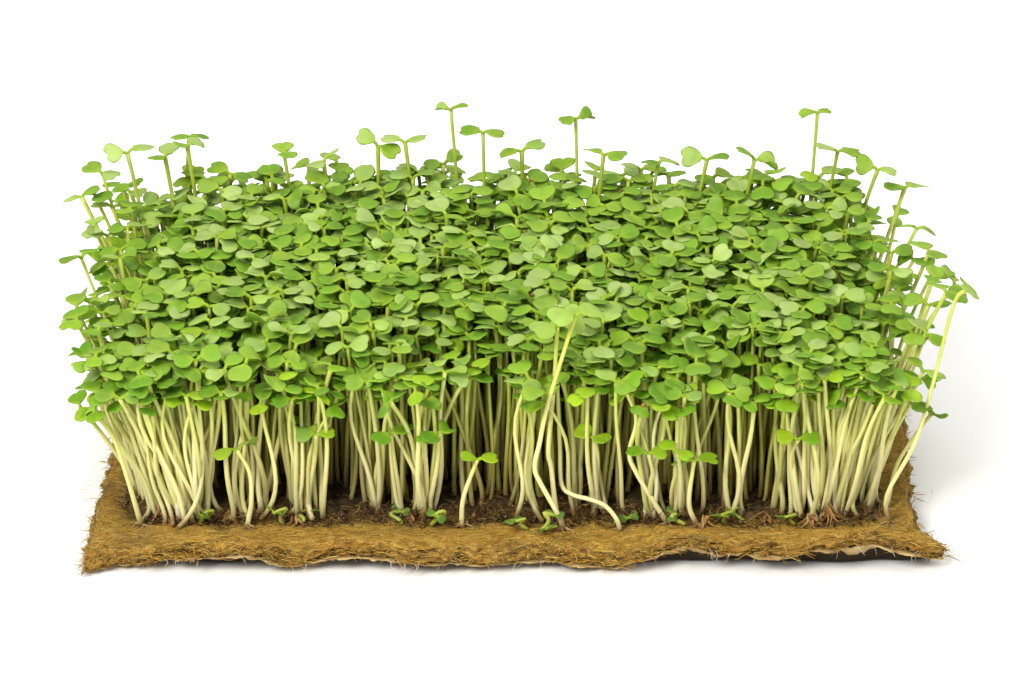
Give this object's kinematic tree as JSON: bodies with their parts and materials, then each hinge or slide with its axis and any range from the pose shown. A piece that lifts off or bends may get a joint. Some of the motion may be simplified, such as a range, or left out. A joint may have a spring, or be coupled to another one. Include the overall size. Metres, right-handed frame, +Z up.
{
  "type": "microgreens on growing mat",
  "caption": "Dense stand of young leafy seedlings rooted in a flat rectangular fibre growing mat, with torn wavy edges and single seedlings leaning out at the margins.",
  "frame": {"origin": "middle of the whole object's footprint, on the surface that it stands on", "axes": "+X to the right along the long side, +Y from the torn front edge towards the back, +Z up"},
  "size_m": [0.2722, 0.1312, 0.0977],
  "materials": {
    "growing_mat_fibre": "damp brown plant-fibre felt, rough and hairy",
    "seedling_tuft": "fresh green cotyledons with a soft grey bloom, on pale green stems",
    "single_seedling": "pale cream to yellow-green stem with bright green cotyledons"
  },
  "bodies": {
    "root": {"bent_seedling_front_left": "single_seedling", "curved_seedling_front_right": "single_seedling", "growing_mat": "growing_mat_fibre", "leaning_seedling_left_back": "single_seedling", "leaning_seedling_left_front": "single_seedling", "leaning_seedling_left_middle": "single_seedling", "leaning_seedling_right_front": "single_seedling", "leaning_seedling_right_low": "single_seedling", "leaning_seedling_right_middle": "single_seedling", "seedling_tuft_r1c1": "seedling_tuft", "seedling_tuft_r1c2": "seedling_tuft", "seedling_tuft_r1c3": "seedling_tuft", "seedling_tuft_r1c4": "seedling_tuft", "seedling_tuft_r1c5": "seedling_tuft", "seedling_tuft_r1c6": "seedling_tuft", "seedling_tuft_r1c7": "seedling_tuft", "seedling_tuft_r1c8": "seedling_tuft", "seedling_tuft_r1c9": "seedling_tuft", "seedling_tuft_r2c1": "seedling_tuft", "seedling_tuft_r2c2": "seedling_tuft", "seedling_tuft_r2c3": "seedling_tuft", "seedling_tuft_r2c4": "seedling_tuft", "seedling_tuft_r2c5": "seedling_tuft", "seedling_tuft_r2c6": "seedling_tuft", "seedling_tuft_r2c7": "seedling_tuft", "seedling_tuft_r2c8": "seedling_tuft", "seedling_tuft_r2c9": "seedling_tuft", "seedling_tuft_r3c1": "seedling_tuft", "seedling_tuft_r3c2": "seedling_tuft", "seedling_tuft_r3c3": "seedling_tuft", "seedling_tuft_r3c4": "seedling_tuft", "seedling_tuft_r3c5": "seedling_tuft", "seedling_tuft_r3c6": "seedling_tuft", "seedling_tuft_r3c7": "seedling_tuft", "seedling_tuft_r3c8": "seedling_tuft", "seedling_tuft_r3c9": "seedling_tuft", "seedling_tuft_r4c1": "seedling_tuft", "seedling_tuft_r4c2": "seedling_tuft", "seedling_tuft_r4c3": "seedling_tuft", "seedling_tuft_r4c4": "seedling_tuft", "seedling_tuft_r4c5": "seedling_tuft", "seedling_tuft_r4c6": "seedling_tuft", "seedling_tuft_r4c7": "seedling_tuft", "seedling_tuft_r4c8": "seedling_tuft", "seedling_tuft_r4c9": "seedling_tuft", "short_seedling_front_left": "single_seedling", "short_seedling_front_middle": "single_seedling", "short_seedling_front_right": "single_seedling", "tall_seedling_back_centre": "single_seedling", "tall_seedling_back_left": "single_seedling", "tall_seedling_back_middle": "single_seedling", "tall_seedling_back_right": "single_seedling", "tall_seedling_front_left_stem": "single_seedling", "tall_seedling_front_right_stem": "single_seedling"}
  },
  "joints": []
}
